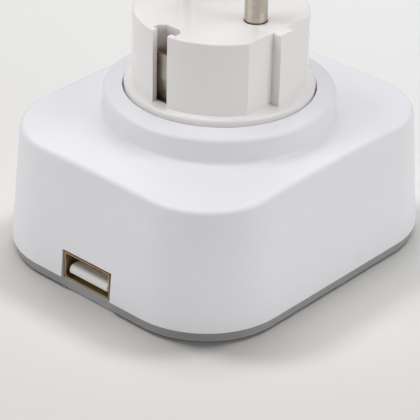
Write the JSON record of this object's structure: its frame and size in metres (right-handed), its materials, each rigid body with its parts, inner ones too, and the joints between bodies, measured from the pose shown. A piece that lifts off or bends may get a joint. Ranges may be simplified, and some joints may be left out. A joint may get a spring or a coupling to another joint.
{
  "type": "plug-in power meter",
  "caption": "Plug-in power meter: rounded box with a wall plug on its back, and a socket well, display, push buttons and side charging port.",
  "frame": {"origin": "centre of the footprint, on the front face, which lies on the floor", "axes": "+Z out of the wall plug's face, +X from the neutral pin to the live pin, the charging port looks towards -Y, the display is on the +Y side of the front face"},
  "size_m": [0.0692, 0.0796, 0.0733],
  "materials": {
    "shell_plastic": "fine satin moulded",
    "cover_plastic": "fine satin moulded",
    "insert_plastic": "satin moulded",
    "clear_window": "polished",
    "display_glass": "polished",
    "diffuser": "matt",
    "conductive_rubber": "matt",
    "button_plastic": "satin",
    "switch_plastic": "matt",
    "plated_brass": "nickel plated, drawn",
    "contact_brass": "stamped",
    "earth_metal": "nickel plated, stamped",
    "carrier_plastic": "matt",
    "shutter_plastic": "matt",
    "spring_steel": "drawn wire",
    "screw_steel": "zinc plated",
    "board_laminate": "solder mask",
    "shunt_alloy": "stamped",
    "chip_plastic": "matt",
    "fuse_body": "glazed",
    "varistor_coating": "dipped",
    "capacitor_box": "moulded",
    "capacitor_can": "sleeved",
    "ferrite": "sintered",
    "winding": "taped",
    "usb_steel": "tin plated",
    "usb_plastic": "moulded",
    "usb_gold": "gold plated"
  },
  "bodies": {
    "housing": {"rear_shell": "shell_plastic", "front_cover": "cover_plastic", "display_window": "clear_window", "display_panel": "display_glass", "display_backlight": "diffuser", "display_connectors": "conductive_rubber", "mode_switch_body": "switch_plastic", "set_switch_body": "switch_plastic", "plug_insert": "insert_plastic", "live_pin": "plated_brass", "neutral_pin": "plated_brass", "live_input_bar": "contact_brass", "live_contact": "contact_brass", "neutral_contact": "contact_brass", "earth_strap": "earth_metal", "earth_clips": "earth_metal", "earth_sleeve": "plated_brass", "contact_carrier": "carrier_plastic", "shutter_spring": "spring_steel", "case_screw": "screw_steel", "main_board": "board_laminate", "board_screws": "screw_steel", "shunt_resistor": "shunt_alloy", "metering_chip": "chip_plastic", "microcontroller": "chip_plastic", "fuse_link": "fuse_body", "varistor": "varistor_coating", "suppression_capacitor": "capacitor_box", "input_capacitors": "capacitor_can", "output_capacitor": "capacitor_can", "transformer_core": "ferrite", "transformer_coil": "winding", "usb_shell": "usb_steel", "usb_tongue": "usb_plastic", "usb_contacts": "usb_gold"},
    "mode_button": {"mode_button": "button_plastic"},
    "set_button": {"set_button": "button_plastic"},
    "mode_plunger": {"mode_switch_plunger": "switch_plastic"},
    "set_plunger": {"set_switch_plunger": "switch_plastic"},
    "shutter": {"shutter": "shutter_plastic"}
  },
  "joints": [
    {"name": "mode_button_press", "type": "slide", "parent": "housing", "child": "mode_button", "axis": [0, 0, 1], "range_m": [0, 0.0004], "stiffness_N_per_m": 400, "springref_m": -0.002},
    {"name": "set_button_press", "type": "slide", "parent": "housing", "child": "set_button", "axis": [0, 0, 1], "range_m": [0, 0.0004], "stiffness_N_per_m": 400, "springref_m": -0.002},
    {"name": "mode_plunger_press", "type": "slide", "parent": "housing", "child": "mode_plunger", "axis": [0, 0, 1], "range_m": [0, 0.0004]},
    {"name": "set_plunger_press", "type": "slide", "parent": "housing", "child": "set_plunger", "axis": [0, 0, 1], "range_m": [0, 0.0004]},
    {"name": "shutter_turn", "type": "hinge", "parent": "housing", "child": "shutter", "pos_m": [0, 0, 0.0207], "axis": [0, 0, 1], "range_deg": [0, 36], "stiffness_Nm_per_rad": 0.004, "springref_deg": -28.65}
  ],
  "couplings": [
    {"joint": "mode_plunger_press", "follows": "mode_button_press", "ratio": 1},
    {"joint": "set_plunger_press", "follows": "set_button_press", "ratio": 1}
  ]
}
